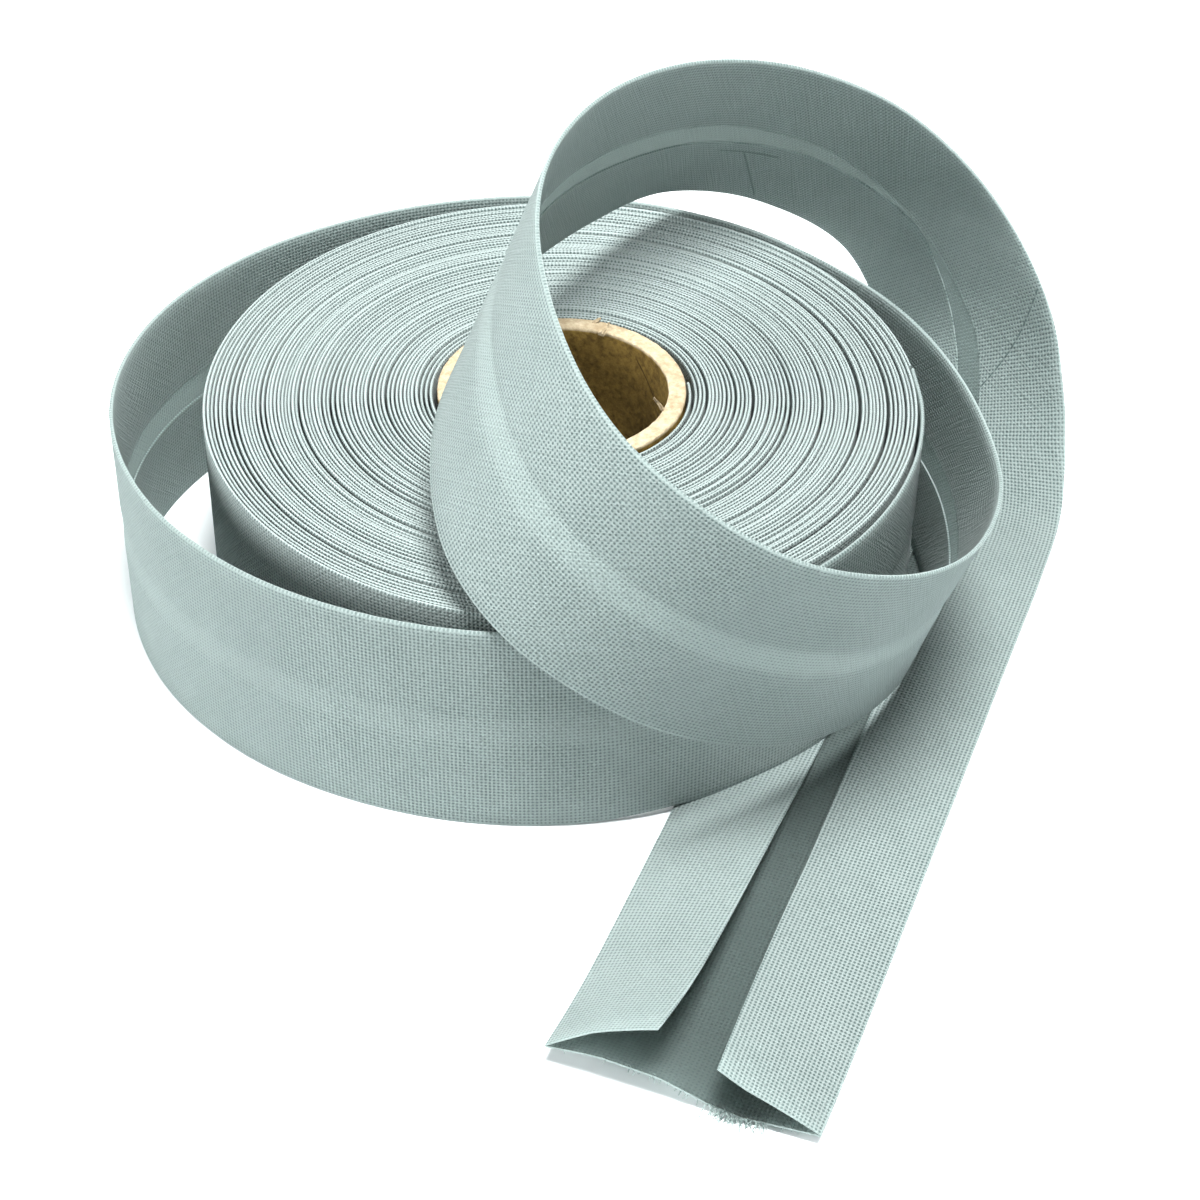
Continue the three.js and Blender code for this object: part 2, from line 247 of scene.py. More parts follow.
# The studio's lamps, in metres and watts
LAMPS = [
    dict(name="overhead", place=(0.08, -0.12, 0.85), target=(0.02, 0.02, 0.02), size=0.34, power=19),
    dict(name="right_fill", place=(0.9, -0.5, 0.45), target=(0.03, 0, 0.03), size=0.6, power=3),
    dict(name="behind", place=(0.55, 0.85, 0.28), target=(0.03, 0.04, 0.06), size=0.4, power=6),
    dict(name="left_window", place=(-1.0, -0.1, 0.28), target=(0, 0, 0.04), size=0.5, power=14),
]


def from_axis(points):
    """Points in millimetres from the roll's axis as metres in the frame."""
    return (np.asarray(points, float) + (*ROLL_AXIS, 0.0)) * MM


def eased(points, shares):
    """A centripetal Catmull-Rom curve through the points, at shares of its number of spans."""
    points = np.asarray(points, float)
    first = 2 * points[0] - points[1]
    last = 2 * points[-1] - points[-2]
    ring = np.vstack([first, points, last])
    place = np.clip(np.asarray(shares) * (len(points) - 1), 0, len(points) - 1 - 1e-9)
    span = place.astype(int)
    t = (place - span)[:, None]
    p0, p1, p2, p3 = (ring[span + k] for k in range(4))
    d0, d1, d2 = (
        np.maximum(np.linalg.norm(b - a, axis=1, keepdims=True) ** 0.5, 1e-4)
        for a, b in ((p0, p1), (p1, p2), (p2, p3))
    )
    leave = ((p1 - p0) / d0 - (p2 - p0) / (d0 + d1) + (p2 - p1) / d1) * d1
    arrive = ((p2 - p1) / d1 - (p3 - p1) / (d1 + d2) + (p3 - p2) / d2) * d1
    bend = -3 * p1 + 3 * p2 - 2 * leave - arrive
    turn = 2 * p1 - 2 * p2 + leave + arrive
    return p1 + leave * t + bend * t**2 + turn * t**3


def standing_rows():
    polar = [(row["at"], row["radius"], row["foot"]) for row in STANDING_TURN]
    turned = polar[0][0] - polar[-1][0]
    shares = np.linspace(0, 1, round(turned / STANDING_STEP) + 1)
    at, radius, foot = eased(polar, shares).T
    gaps = eased([(row["gap"], 0.0) for row in STANDING_TURN], shares)[:, 0]
    x = radius * np.cos(np.radians(at))
    y = radius * np.sin(np.radians(at))
    foot = np.maximum(foot, 0)
    low = np.column_stack([x, y, foot])
    top = np.column_stack([x, y, np.full(len(x), ROLL_HEIGHT)])
    return low, top, gaps


def tail_rows():
    turn = math.radians(TAIL_TURN)
    along = np.array([math.sin(turn), math.cos(turn), 0])
    across = np.array([math.cos(turn), -math.sin(turn), 0])
    low = np.array([across * TAIL_NEAR + along * row["stop"] for row in TAIL_STOPS])
    low[:, 2] = CAD_THICK / 2
    return low, low + across * TAIL_WIDTH, np.array([row["gap"] for row in TAIL_STOPS])


def tape_frames():
    """Sections along the loose tape: middle, across, flap side, width, gap and length so far."""
    loose = (
        np.array([row["low"] for row in LOOSE_RUN], float),
        np.array([row["top"] for row in LOOSE_RUN], float),
        np.array([row["gap"] for row in LOOSE_RUN], float),
    )
    low, top, gaps = (np.concatenate(parts) for parts in zip(standing_rows(), loose, tail_rows()))
    spans = len(low) - 1
    spacing = np.linalg.norm(np.diff((low + top) / 2, axis=0), axis=1)
    shares = [0.0]
    for i, length in enumerate(spacing):
        steps = max(1, round(length / SECTION_STEP))
        shares += [(i + k / steps) / spans for k in range(1, steps + 1)]
    low, top = eased(low, shares), eased(top, shares)
    gap = np.interp(shares, np.linspace(0, 1, spans + 1), gaps)
    middle = (low + top) / 2
    along = np.gradient(middle, axis=0)
    along /= np.linalg.norm(along, axis=1, keepdims=True)
    across = top - low
    width = np.clip(np.linalg.norm(across, axis=1), TAPE_WIDTH - WIDTH_GIVE, TAIL_WIDTH)
    across -= along * np.sum(across * along, axis=1, keepdims=True)
    across /= np.linalg.norm(across, axis=1, keepdims=True)
    flap_side = np.cross(along, across)
    steps = np.linalg.norm(np.diff(middle, axis=0), axis=1)
    length = np.concatenate([[0], np.cumsum(steps)])
    return middle, across, flap_side, width, gap, length


def smooth(share):
    return share * share * (3 - 2 * share)


def half_section(width, gap, open_angle, lift):
    """Half of the folded tape across its width, from its middle round the fold to the raw
    edge: across, height and place across the cut cloth."""
    half = width / 2
    under = -CAD_THICK / 2 + CLOTH / 2
    fold = LAYER_STEP / 2
    start = half - CLOTH / 2 - fold
    rows = []
    for across in (*BASE_PLACES, start):
        share = min(1, max(0, (BAND_HALF + BAND_EASE / 2 - across) / BAND_EASE))
        rows.append((across, under + BAND_SUNK * smooth(share), across))
    open_by = math.radians(open_angle)
    middle = under + fold
    for k in range(1, FOLD_STEPS + 1):
        turned = (math.pi - open_by) * k / FOLD_STEPS
        across = start + fold * math.sin(turned)
        height = middle - fold * math.cos(turned)
        on_cloth = start + fold * turned
        rows.append((across, height, on_cloth))
    step = (start - gap / 2) / FLAP_STEPS
    for k in range(1, FLAP_STEPS + 1):
        share = k / FLAP_STEPS
        heading = math.pi - open_by * (CURL_START - CURL_LOSS * share)
        across += step * math.cos(heading)
        height += step * math.sin(heading)
        on_cloth += step
        rows.append((across, height + lift * share**2, on_cloth))
    return rows


def soft_waves(count, spacing, seed):
    """A smooth seeded wave between 0 and 1 along the tape."""
    knots = max(4, int(count / spacing) + 2)
    values = np.random.default_rng(seed).random(knots)
    ease = np.linspace(0, knots - 1, count)
    base = ease.astype(int)
    part = smooth(ease - base)
    following = np.minimum(base + 1, knots - 1)
    return values[base] * (1 - part) + values[following] * part


def mesh_object(name, points, faces, uvs=None):
    mesh = bpy.data.meshes.new(name)
    mesh.from_pydata([tuple(p) for p in points], [], faces)
    if uvs is not None:
        layer = mesh.uv_layers.new(name="cloth")
        loops = np.empty(len(mesh.loops), dtype=np.int32)
        mesh.loops.foreach_get("vertex_index", loops)
        layer.data.foreach_set("uv", np.asarray(uvs, float)[loops].ravel())
    mesh.update()
    made = bpy.data.objects.new(name, mesh)
    bpy.context.collection.objects.link(made)
    return made


def select_only(piece):
    bpy.ops.object.select_all(action="DESELECT")
    piece.select_set(True)
    bpy.context.view_layer.objects.active = piece


def apply_all(piece):
    select_only(piece)
    for modifier in list(piece.modifiers):
        bpy.ops.object.modifier_apply(modifier=modifier.name)


def outward_normals(piece, smooth_angle):
    select_only(piece)
    bpy.ops.object.mode_set(mode="EDIT")
    bpy.ops.mesh.select_all(action="SELECT")
    bpy.ops.mesh.normals_make_consistent(inside=False)
    bpy.ops.object.mode_set(mode="OBJECT")
    bpy.ops.object.shade_smooth_by_angle(angle=math.radians(smooth_angle))


def end_lift(across):
    """Height of the cut end off the table at a place across the tape."""
    return np.interp(across, [row["across"] for row in END_LIFT], [row["lift"] for row in END_LIFT])


def loose_tape(right_side, wrong_side_painted_shade):
    """The let-off end, one folded sheet from the parting to the cut end."""
    middle, across, flap_side, width, gap, length = tape_frames()
    count = len(middle)
    full = length[-1]
    lift_right, lift_left = (
        RAW_EDGE_LIFT * soft_waves(count, RAW_EDGE_WAVE, seed) for seed in (3, 4)
    )
    points = []
    uvs = []
    for i in range(count):
        to_end = full - length[i]
        left_share = max(0.0, 1 - to_end / LEFT_OPEN_LENGTH)
        right_share = max(0.0, 1 - to_end / RIGHT_OPEN_LENGTH)
        base_share = max(0.0, 1 - to_end / BASE_LIFT_LENGTH)
        spare = 2 * LEFT_SPARE_END * left_share**2
        right_open = RIGHT_OPEN_END * right_share**RIGHT_POWER
        left_open = LEFT_OPEN_END * left_share**LEFT_POWER
        right = half_section(width[i], gap[i], right_open, lift_right[i])
        left = half_section(width[i], gap[i] - spare, left_open, lift_left[i])
        section = [(-x, h, -v) for x, h, v in reversed(left)] + right[1:]
        for x, h, v in section:
            at = middle[i] + across[i] * x + flap_side[i] * h
            at[2] = max(CLOTH / 2, at[2] + end_lift(x) * base_share**2)
            points.append(at)
            uvs.append((length[i], v))
    size = len(points) // count
    faces = []
    for i in range(count - 1):
        for k in range(size - 1):
            here = i * size + k
            faces.append((here, here + 1, here + size + 1, here + size))
    tape = mesh_object("loose_tape_cloth", from_axis(points), faces, uvs)
    tape.data.materials.append(right_side)
    tape.data.materials.append(wrong_side_painted_shade)
    wall = tape.modifiers.new("layer", "SOLIDIFY")
    wall.thickness = CLOTH * MM
    wall.offset = 0
    wall.material_offset = 1
    apply_all(tape)
    outward_normals(tape, 50)
    return tape, full


def wound_radius(turn):
    """Distance from the axis after so many turns: some lie close, some loose, and the slack
    places are let in."""
    taken = sum(row["wide"] for row in SLACK)
    pitch = TURN_THICK + TURN_NEAREST
    spare = ROLL_OUTER - ROLL_INNER - TURN_THICK - taken - pitch * TURNS
    loose = np.cumsum(np.random.default_rng(15).random(TURNS + 1) ** LOOSE_POWER)
    loose -= loose[0]
    eased_off = np.interp(turn, np.arange(TURNS + 1), loose / loose[-1])
    radius = ROLL_INNER + TURN_THICK / 2 + pitch * turn + spare * eased_off
    for row in SLACK:
        nominal = (row["radius"] - ROLL_INNER) / (ROLL_OUTER - ROLL_INNER) * TURNS
        at_angle = (END_ANGLE - row["at"]) / 360
        start = round(nominal - at_angle) + at_angle
        radius = radius + row["wide"] * smooth(np.clip((turn - start) + 0.5, 0, 1))
    return radius


def wound_turns():
    """The wound strip, one closed band from the card tube to the parting."""
    count = TURNS * TURN_STEPS + 1
    turn = np.linspace(0, TURNS, count)
    angle = np.radians(END_ANGLE - 360 * (turn - TURNS))
    radius = wound_radius(turn) + TURN_WANDER * (soft_waves(count, TURN_STEPS * 0.31, 14) - 0.5)
    uneven = soft_waves(count, TURN_STEPS * 0.41, 11) - 0.5
    gentle = soft_waves(count, TURN_STEPS * 3.7, 12) - 0.5
    height = ROLL_HEIGHT + TOP_UNEVEN * uneven + TOP_GENTLE * gentle
    x, y = radius * np.cos(angle), radius * np.sin(angle)
    tail = math.radians(TAIL_TURN)
    over_tail = x * math.cos(tail) - y * math.sin(tail) - PRESSED_FROM
    pressed = PRESSED_HEIGHT * np.clip(over_tail / PRESSED_EASE, 0, 1)
    foot = pressed + FOOT_UNEVEN * soft_waves(count, TURN_STEPS * 0.5, 13)
    outward = np.column_stack([np.cos(angle), np.sin(angle), np.zeros(count)])
    middle = np.column_stack([x, y, np.zeros(count)])
    half = TURN_THICK / 2
    length = np.concatenate([[0], np.cumsum(np.hypot(np.diff(x), np.diff(y)))])
    outline = [(row["side"] * half, height - row["below"], row["cloth"]) for row in TURN_EDGE]
    outline += [
        (half, foot + FOOT_ROUND, ROUND_CLOTH - ROLL_HEIGHT),
        (0.0, foot, -ROLL_HEIGHT),
        (-half, foot + FOOT_ROUND, ROLL_HEIGHT - ROUND_CLOTH),
    ]
    points = np.empty((count, len(outline), 3))
    uvs = np.empty((count, len(outline), 2))
    for k, (side, level, across) in enumerate(outline):
        points[:, k] = middle + outward * side
        points[:, k, 2] = level
        uvs[:, k, 0] = length
        uvs[:, k, 1] = across
    size = len(outline)
    faces = []
    for i in range(count - 1):
        here = i * size
        for k in range(size):
            after = (k + 1) % size
            faces.append((here + k, here + after, here + size + after, here + size + k))
    faces.append(tuple(range(size - 1, -1, -1)))
    faces.append(tuple((count - 1) * size + k for k in range(size)))
    band = mesh_object("wound_turns", from_axis(points.reshape(-1, 3)), faces, uvs.reshape(-1, 2))
    outward_normals(band, 20)
    return band


def frayed_threads():
    """Loose threads at the cut end: a tuft right of the base's middle, a few elsewhere."""
    middle, across = tape_frames()[:2]
    end, side = middle[-1], across[-1]
    ahead = end - middle[-3]
    ahead /= np.linalg.norm(ahead)
    upward = np.array([0, 0, 1.0])
    chance = np.random.default_rng(21)
    points = []
    faces = []
    for number in range(FRAYED_THREADS):
        tuft = number % 3 > 0
        place = chance.normal(8.0, 2.3) if tuft else chance.uniform(-18, 18)
        reach = chance.uniform(0.8, 3.2) if tuft else chance.uniform(0.3, 0.8)
        start = end + side * place - ahead * 0.5
        start[2] = CLOTH / 2 + end_lift(place)
        heading = ahead + side * chance.choice([-1, 1]) * chance.uniform(0.2, 1.1)
        heading /= np.linalg.norm(heading)
        sag = chance.uniform(-1.4, 0.2)
        sway = chance.uniform(-0.5, 0.5)
        first = len(points)
        for k in range(THREAD_SECTIONS):
            share = k / (THREAD_SECTIONS - 1)
            at = start + heading * reach * share + upward * sag * share**2
            at = at + side * sway * math.sin(math.pi * share)
            thick = THREAD_THICK * (1 - THREAD_TAPER * share)
            for corner in range(THREAD_CORNERS):
                turn = 2 * math.pi / THREAD_CORNERS * corner
                rim = at + side * thick * math.cos(turn) + upward * thick * math.sin(turn)
                rim[2] = max(THREAD_LOWEST, rim[2])
                points.append(rim)
        for k in range(THREAD_SECTIONS - 1):
            here = first + THREAD_CORNERS * k
            further = here + THREAD_CORNERS
            for corner in range(THREAD_CORNERS):
                after = (corner + 1) % THREAD_CORNERS
                faces.append((here + corner, here + after, further + after, further + corner))
        last = first + THREAD_CORNERS * (THREAD_SECTIONS - 1)
        faces.append(tuple(first + corner for corner in reversed(range(THREAD_CORNERS))))
        faces.append(tuple(last + corner for corner in range(THREAD_CORNERS)))
    uvs = [(p[0], p[1]) for p in points]
    return mesh_object("frayed_threads", from_axis(points), faces, uvs)


def torn_flake(tube, flake):
    """A sliver of card torn up from the rim, joined to the tube."""
    angle = math.radians(flake["at"])
    x = ROLL_AXIS[0] + flake["radius"] * math.cos(angle)
    y = ROLL_AXIS[1] + flake["radius"] * math.sin(angle)
    bpy.ops.object.select_all(action="DESELECT")
    bpy.ops.mesh.primitive_cone_add(
        vertices=7,
        radius1=flake["wide"] / 2 * MM,
        radius2=TORN_TIP * MM,
        depth=flake["long"] * MM,
        location=(x * MM, y * MM, (CORE_HEIGHT + flake["rise"]) * MM),
        rotation=(math.radians(flake["lean"]), 0, angle + math.radians(flake["turn"])),
    )
    sliver = bpy.context.object
    bpy.ops.object.mode_set(mode="EDIT")
    bpy.ops.mesh.subdivide(number_cuts=3)
    bpy.ops.transform.vertex_random(offset=TORN_RAGGED * MM, seed=flake["at"])
    bpy.ops.object.mode_set(mode="OBJECT")
    bpy.ops.object.select_all(action="DESELECT")
    sliver.select_set(True)
    tube.select_set(True)
    bpy.context.view_layer.objects.active = tube
    bpy.ops.object.join()


def card_tube():
    """The tube, from a cylinder: ends inset and opened, walls bridged, rims eased and worn."""
    bpy.ops.object.select_all(action="DESELECT")
    x, y = ROLL_AXIS
    bpy.ops.mesh.primitive_cylinder_add(
        vertices=CORE_SIDES,
        radius=CORE_OUTER * MM,
        depth=CORE_HEIGHT * MM,
        end_fill_type="NGON",
        location=(x * MM, y * MM, CORE_HEIGHT / 2 * MM),
    )
    tube = bpy.context.object
    tube.name = "card_tube_wall"
    bpy.ops.object.transform_apply(location=True, rotation=True, scale=True)
    bpy.ops.object.mode_set(mode="EDIT")
    bpy.ops.mesh.select_mode(type="FACE")
    bpy.ops.mesh.select_all(action="SELECT")
    bpy.ops.mesh.select_face_by_sides(number=4, type="GREATER", extend=False)
    for third in range(3):
        bpy.ops.mesh.inset(thickness=(CORE_OUTER - CORE_INNER) / 3 * MM)
    bpy.ops.mesh.bridge_edge_loops(number_cuts=12)
    bpy.ops.mesh.select_all(action="SELECT")
    bpy.ops.mesh.normals_make_consistent(inside=False)
    bpy.ops.object.mode_set(mode="OBJECT")
    ease = tube.modifiers.new("rims", "BEVEL")
    ease.width = RIM_EASE * MM
    ease.segments = 3
    ease.limit_method = "ANGLE"
    ease.angle_limit = math.radians(50)
    apply_all(tube)
    for flake in TORN_CARD:
        torn_flake(tube, flake)
    # the cut rim is worn: its card fibres stand unevenly
    chance = np.random.default_rng(5)
    for vertex in tube.data.vertices:
        if vertex.co.z > (CORE_HEIGHT - WORN_DEPTH) * MM:
            vertex.co.z += chance.uniform(-0.07, 0.05) * MM
            vertex.co.x += chance.uniform(-RIM_WEAR, RIM_WEAR) * MM
            vertex.co.y += chance.uniform(-RIM_WEAR, RIM_WEAR) * MM
    bpy.ops.object.shade_smooth_by_angle(angle=math.radians(40))
    return tube


class Recipe:
    """A material's nodes, added one after another."""

    def __init__(self, name):
        self.material = bpy.data.materials.new(name)
        self.material.use_nodes = True
        self.tree = self.material.node_tree
        self.tree.nodes.clear()

    def add(self, kind, settings=None, **inputs):
        made = self.tree.nodes.new(kind)
        for key, value in (settings or {}).items():
            setattr(made, key, value)
        for key, value in inputs.items():
            self.put(made.inputs[key.replace("_", " ")], value)
        return made

    def put(self, socket, value):
        if isinstance(value, bpy.types.NodeSocket):
            self.tree.links.new(value, socket)
        else:
            socket.default_value = value

    def maths(self, operation, *values):
        made = self.tree.nodes.new("ShaderNodeMath")
        made.operation = operation
        for socket, value in zip(made.inputs, values):
            self.put(socket, value)
        return made.outputs[0]

    def between(self, value, low, high, to_low=0.0, to_high=1.0):
        made = self.tree.nodes.new("ShaderNodeMapRange")
        made.interpolation_type = "SMOOTHSTEP"
        keys = ("Value", "From Min", "From Max", "To Min", "To Max")
        for key, setting in zip(keys, (value, low, high, to_low, to_high)):
            self.put(made.inputs[key], setting)
        return made.outputs[0]

    def noise(self, vector, scale, detail=2.0, roughness=0.5):
        made = self.add("ShaderNodeTexNoise", Vector=vector, Scale=scale)
        self.put(made.inputs["Detail"], detail)
        self.put(made.inputs["Roughness"], roughness)
        return made.outputs["Fac"]

    def plus(self, value, amount, by):
        """Value with so much of amount added."""
        return self.maths("ADD", value, self.maths("MULTIPLY", amount, by))

    def varied(self, value, noise, by):
        """Value moved either way by a noise that is about a half."""
        return self.plus(value, self.maths("SUBTRACT", noise, 0.5), by)

    def bump(self, height, strength, distance):
        made = self.add("ShaderNodeBump", Strength=strength, Distance=distance, Height=height)
        return made.outputs[0]

    def blend(self, share, first, second):
        made = self.tree.nodes.new("ShaderNodeMix")
        made.data_type = "RGBA"
        self.put(made.inputs[0], share)
        self.put(made.inputs[6], first)
        self.put(made.inputs[7], second)
        return made.outputs[2]


def woven(recipe):
    """Threads both ways at 45 degrees to the tape: the weave with its painted shade, its slubs
    and the place on the cloth, in millimetres."""
    place = recipe.add("ShaderNodeUVMap", {"uv_map": "cloth"}).outputs[0]
    parts = recipe.add("ShaderNodeSeparateXYZ", Vector=place)
    along, across = parts.outputs[0], parts.outputs[1]
    slant = 1 / math.sqrt(2)
    warp = recipe.maths("MULTIPLY", recipe.maths("ADD", along, across), slant)
    weft = recipe.maths("MULTIPLY", recipe.maths("SUBTRACT", along, across), slant)
    waves = [
        recipe.maths("SINE", recipe.maths("MULTIPLY", way, math.pi / WEAVE_PITCH))
        for way in (warp, weft)
    ]
    crossing = recipe.maths("MULTIPLY", *waves)
    # every crossing is a small bump, and one in two lies sunk between the others; the sunk crossings
    # and the grooves round the bumps are painted dark, as shade
    bumps = recipe.maths("POWER", recipe.maths("ABSOLUTE", crossing), 0.6)
    raised = recipe.between(crossing, -0.75, -0.02)
    weave_and_shade = recipe.plus(recipe.maths("MULTIPLY_ADD", raised, 1.35, -0.95), bumps, 0.35)
    slubs = []
    for first, second in ((warp, weft), (weft, warp)):
        long_way = recipe.maths("MULTIPLY", first, 0.12)
        short_way = recipe.maths("MULTIPLY", second, 2.1)
        stretched = recipe.add("ShaderNodeCombineXYZ", X=long_way, Y=short_way).outputs[0]
        slubs.append(recipe.noise(stretched, 1.0, 2.0, 0.55))
    return along, across, weave_and_shade, slubs, place


def cloth_line(recipe, along, across, line):
    """1 on a line drawn on the cloth, 0 away from it."""
    (u0, v0), (u1, v1) = line["start"], line["end"]
    length = math.hypot(u1 - u0, v1 - v0)
    du, dv = (u1 - u0) / length, (v1 - v0) / length
    from_u = recipe.maths("SUBTRACT", along, u0)
    from_v = recipe.maths("SUBTRACT", across, v0)
    on_line = recipe.plus(recipe.maths("MULTIPLY", from_u, du), from_v, dv)
    off_line = recipe.plus(recipe.maths("MULTIPLY", from_u, dv), from_v, -du)
    away = recipe.maths("ABSOLUTE", off_line)
    drawn = recipe.between(away, line["wide"] * 0.5, line["wide"] * 1.6, 1.0, 0.0)
    from_centre = recipe.maths("ABSOLUTE", recipe.maths("SUBTRACT", on_line, length / 2))
    ended = recipe.between(from_centre, length / 2 - 1.0, length / 2 + 0.6, 1.0, 0.0)
    drawn = recipe.maths("MULTIPLY", drawn, ended)
    if line["stitch"]:
        beat = recipe.maths("SINE", recipe.maths("MULTIPLY", on_line, 2 * math.pi / line["stitch"]))
        drawn = recipe.maths("MULTIPLY", drawn, recipe.between(beat, -0.4, 0.3, 0.25, 1.0))
    return drawn


def binding_cloth(name, strength, through, lines=()):
    """Plain cotton cloth; strength scales its colour, and through is the share of light that
    passes one layer. The lines are drawn on it dark."""
    recipe = Recipe(name)
    along, across, weave_and_shade, slubs, place = woven(recipe)
    mottle = recipe.noise(place, 0.09, 3.0)
    # partly painted shade: the real thread pattern, with its sunk crossings and grooves darkened as
    # shade
    share = recipe.maths("MULTIPLY_ADD", weave_and_shade, WEAVE_AND_SHADE_PALER, 0.5)
    for slub in slubs:
        share = recipe.varied(share, slub, SLUB_PALER)
    share = recipe.varied(share, mottle, MOTTLE_PALER)
    from_middle = recipe.maths("ABSOLUTE", across)
    # painted light: the middle band, where one layer lies alone, is drawn paler as if lit through; on
    # the wound turns it falls along their upper edges and paints them paler too
    stripe_painted_light = recipe.between(from_middle, 1.8, 3.6, 1.0, 0.0)
    share = recipe.plus(share, stripe_painted_light, STRIPE_PAINTED_LIGHT)
    # painted highlight: a thin line along each folded edge drawn paler, as if the fold caught the light
    from_fold = recipe.maths("ABSOLUTE", recipe.maths("SUBTRACT", from_middle, TAPE_WIDTH / 2))
    crease_painted_light = recipe.between(from_fold, 0.1, 0.9, 1.0, 0.0)
    share = recipe.plus(share, crease_painted_light, FOLD_PAINTED_HIGHLIGHT)
    for line in lines:
        share = recipe.plus(share, cloth_line(recipe, along, across, line), -LINE_DARKER)
    deep = (*(strength * part for part in DEEP_CLOTH), 1)
    pale = (*(strength * part for part in PALE_CLOTH), 1)
    colour = recipe.blend(share, deep, pale)
    relief = recipe.maths("ADD", recipe.maths("MULTIPLY", weave_and_shade, 0.5), recipe.maths("ADD", *slubs))
    bump = recipe.bump(relief, 1.0, WEAVE_DEPTH * MM)
    cloth = recipe.add("ShaderNodeBsdfPrincipled", Base_Color=colour, Roughness=0.92, Normal=bump)
    cloth.inputs["Specular IOR Level"].default_value = 0.18
    cloth.inputs["Sheen Weight"].default_value = 0.12
    cloth.inputs["Sheen Roughness"].default_value = 0.6
    shown = cloth.outputs[0]
    if through:
        lit_through = recipe.blend(0.6, colour, (*THREAD_GLOW, 1))
        glow = recipe.add("ShaderNodeBsdfTranslucent", Color=lit_through, Normal=bump)
        shown = recipe.add("ShaderNodeMixShader", Fac=through)
        recipe.put(shown.inputs[1], cloth.outputs[0])
        recipe.put(shown.inputs[2], glow.outputs[0])
        shown = shown.outputs[0]
    recipe.add("ShaderNodeOutputMaterial", Surface=shown)
    return recipe.material


def card():
    """Grey-brown board: pale fibres at the cut rim, dark and speckled down the bore."""
    recipe = Recipe("tube_card")
    place = recipe.add("ShaderNodeTexCoord").outputs["Object"]
    parts = recipe.add("ShaderNodeSeparateXYZ", Vector=place)
    rim = recipe.between(parts.outputs[2], (CORE_HEIGHT - 0.9) * MM, (CORE_HEIGHT - 0.25) * MM)
    speckle = recipe.noise(place, 900.0, 5.0, 0.7)
    blotch = recipe.noise(place, 160.0, 3.0, 0.6)
    share = recipe.plus(recipe.maths("MULTIPLY", speckle, 0.9), blotch, 0.35)
    share = recipe.between(share, 0.35, 0.95)
    from_x = recipe.maths("SUBTRACT", parts.outputs[0], ROLL_AXIS[0] * MM)
    from_y = recipe.maths("SUBTRACT", parts.outputs[1], ROLL_AXIS[1] * MM)
    round_bore = recipe.maths("MULTIPLY", recipe.maths("ARCTAN2", from_y, from_x), CORE_INNER)
    up_bore = recipe.maths("DIVIDE", parts.outputs[2], MM)
    cracked = cloth_line(recipe, round_bore, up_bore, BORE_CRACK)
    share = recipe.maths("SUBTRACT", share, cracked)
    wall = recipe.blend(share, (0.05, 0.029, 0.005, 1), (0.205, 0.134, 0.032, 1))
    cut = recipe.blend(share, (0.29, 0.22, 0.13, 1), (0.55, 0.475, 0.335, 1))
    colour = recipe.blend(rim, wall, cut)
    bump = recipe.bump(share, 0.6, CARD_DEPTH * MM)
    board = recipe.add("ShaderNodeBsdfPrincipled", Base_Color=colour, Roughness=0.9, Normal=bump)
    board.inputs["Specular IOR Level"].default_value = 0.15
    recipe.add("ShaderNodeOutputMaterial", Surface=board.outputs[0])
    return recipe.material


def plain(name, colour, roughness, glow=0.0):
    recipe = Recipe(name)
    surface = recipe.add("ShaderNodeBsdfPrincipled", Base_Color=(*colour, 1), Roughness=roughness)
    surface.inputs["Emission Color"].default_value = (*colour, 1)
    surface.inputs["Emission Strength"].default_value = glow
    recipe.add("ShaderNodeOutputMaterial", Surface=surface.outputs[0])
    return recipe.material


def aimed(place, target):
    """A matrix at place that looks at target, with +Z kept up."""
    back = (Vector(place) - Vector(target)).normalized()
    right = Vector((0, 0, 1)).cross(back).normalized()
    up = back.cross(right)
    turned = Matrix((right, up, back)).transposed().to_4x4()
    turned.translation = Vector(place)
    return turned


def soft_light(name, place, target, size, power):
    lamp = bpy.data.lights.new(name, "AREA")
    lamp.shape = "DISK"
    lamp.size = size
    lamp.energy = power
    made = bpy.data.objects.new(name, lamp)
    bpy.context.collection.objects.link(made)
    made.matrix_world = aimed(place, target)
    return made


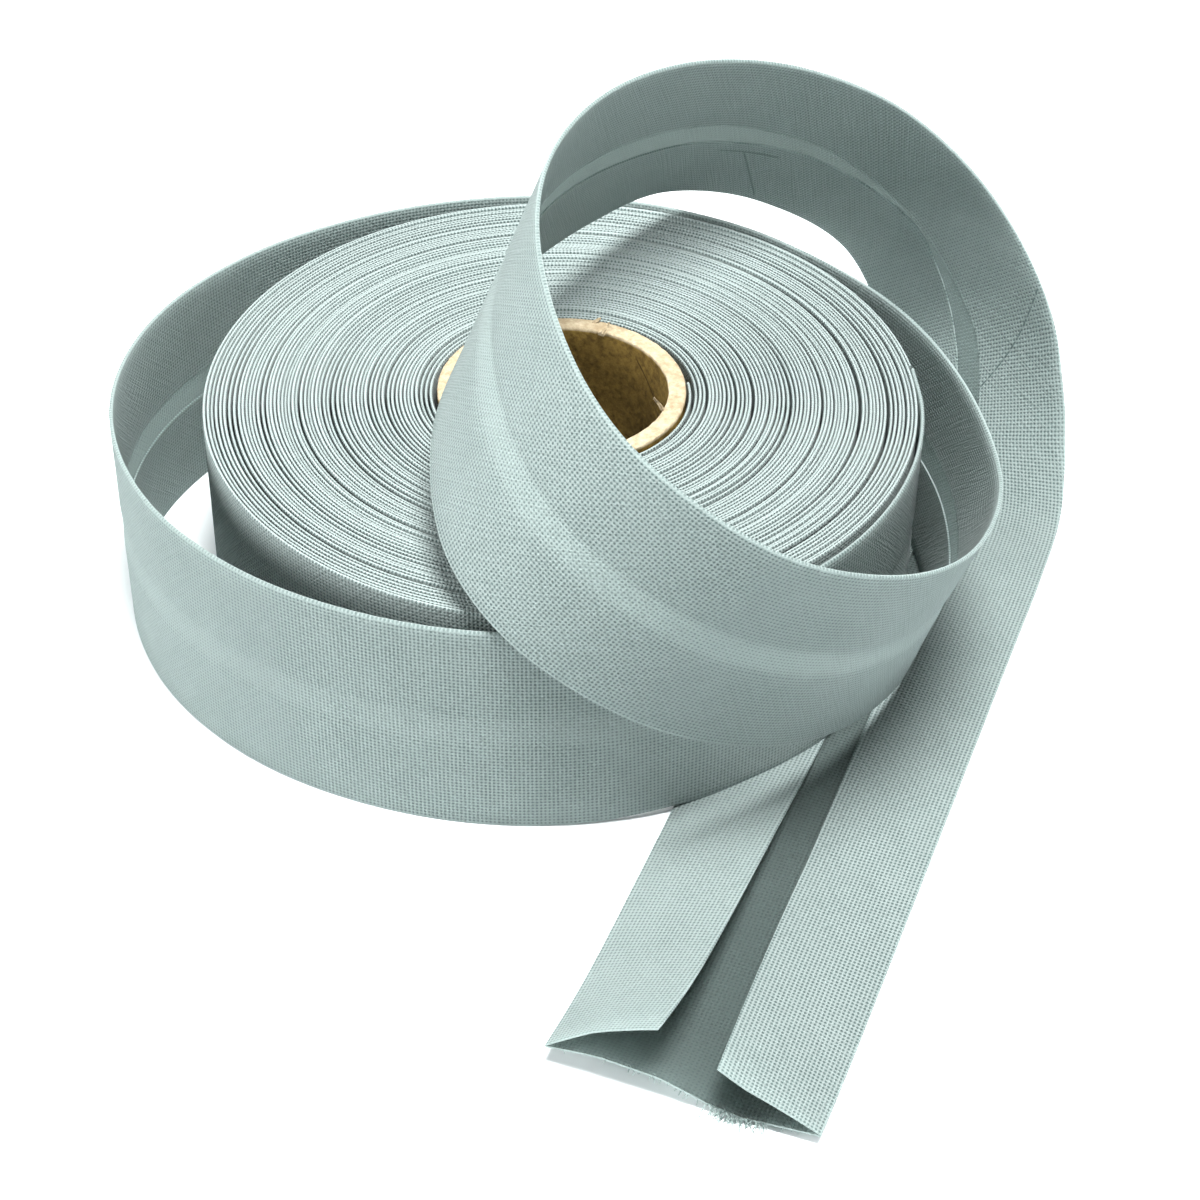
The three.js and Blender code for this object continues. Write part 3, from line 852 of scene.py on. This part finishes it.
def studio():
    bpy.ops.object.select_all(action="DESELECT")
    bpy.ops.mesh.primitive_plane_add(size=6, location=(0, 0, 0))
    floor = bpy.context.object
    floor.name = "floor"
    floor.data.materials.append(plain("floor_white", (0.86, 0.90, 0.91), 0.7, glow=0.05))
    bpy.ops.mesh.primitive_cylinder_add(
        vertices=96, radius=2.4, depth=0.7, end_fill_type="NOTHING", location=(0, 0, 0.35)
    )
    wall = bpy.context.object
    wall.name = "backdrop"
    wall.data.materials.append(plain("backdrop_white", (0.90, 0.93, 0.93), 0.8, glow=0.65))
    bpy.ops.object.shade_smooth()
    world = bpy.data.worlds.new("studio")
    bpy.context.scene.world = world
    world.use_nodes = True
    background = world.node_tree.nodes["Background"]
    background.inputs["Color"].default_value = (0.96, 1.0, 1.0, 1)
    background.inputs["Strength"].default_value = 0.07
    for lamp in LAMPS:
        soft_light(**lamp)
    bpy.context.scene.view_settings.view_transform = "Standard"


def camera():
    lens = bpy.data.cameras.new("photo_view")
    lens.lens = 78.0
    lens.sensor_width = 36.0
    lens.clip_end = 20
    made = bpy.data.objects.new("photo_view", lens)
    bpy.context.collection.objects.link(made)
    target = Vector(from_axis(VIEW_TARGET))
    lift = math.radians(VIEW_LIFT)
    back = Vector((0, -math.cos(lift), math.sin(lift)))
    place = target + back * VIEW_DISTANCE * MM
    made.matrix_world = aimed(place, target) @ Matrix.Rotation(math.radians(VIEW_ROLL), 4, "Z")
    bpy.context.scene.camera = made


def dressed(piece, slot, *nodes):
    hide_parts(*nodes)
    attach(piece, "root")


right_side = binding_cloth("cloth_right_side", strength=0.77, through=0.44, lines=CLOTH_LINES)
# painted shade: a dark copy of the same cloth, at under a quarter of the right side's strength,
# darkening the full-width layer seen between the folded edges
wrong_side_painted_shade = binding_cloth("cloth_wrong_side_painted_shade", strength=0.17, through=0.52)
# painted shade: a darker copy of the same cloth for the wound roll, standing in for the shade between
# its turns
wound_cloth = binding_cloth("wound_cloth", strength=0.60, through=0.0)

tape, tape_length = loose_tape(right_side, wrong_side_painted_shade)
dressed(tape, "cloth", "loose_tape")
threads = frayed_threads()
threads.data.materials.append(right_side)
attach(threads, "root")

turns = wound_turns()
turns.data.materials.append(wound_cloth)
dressed(turns, "wound_cloth", "wound_roll")
tube = card_tube()
tube.data.materials.append(card())
dressed(tube, "card", "card_tube")

studio()
camera()
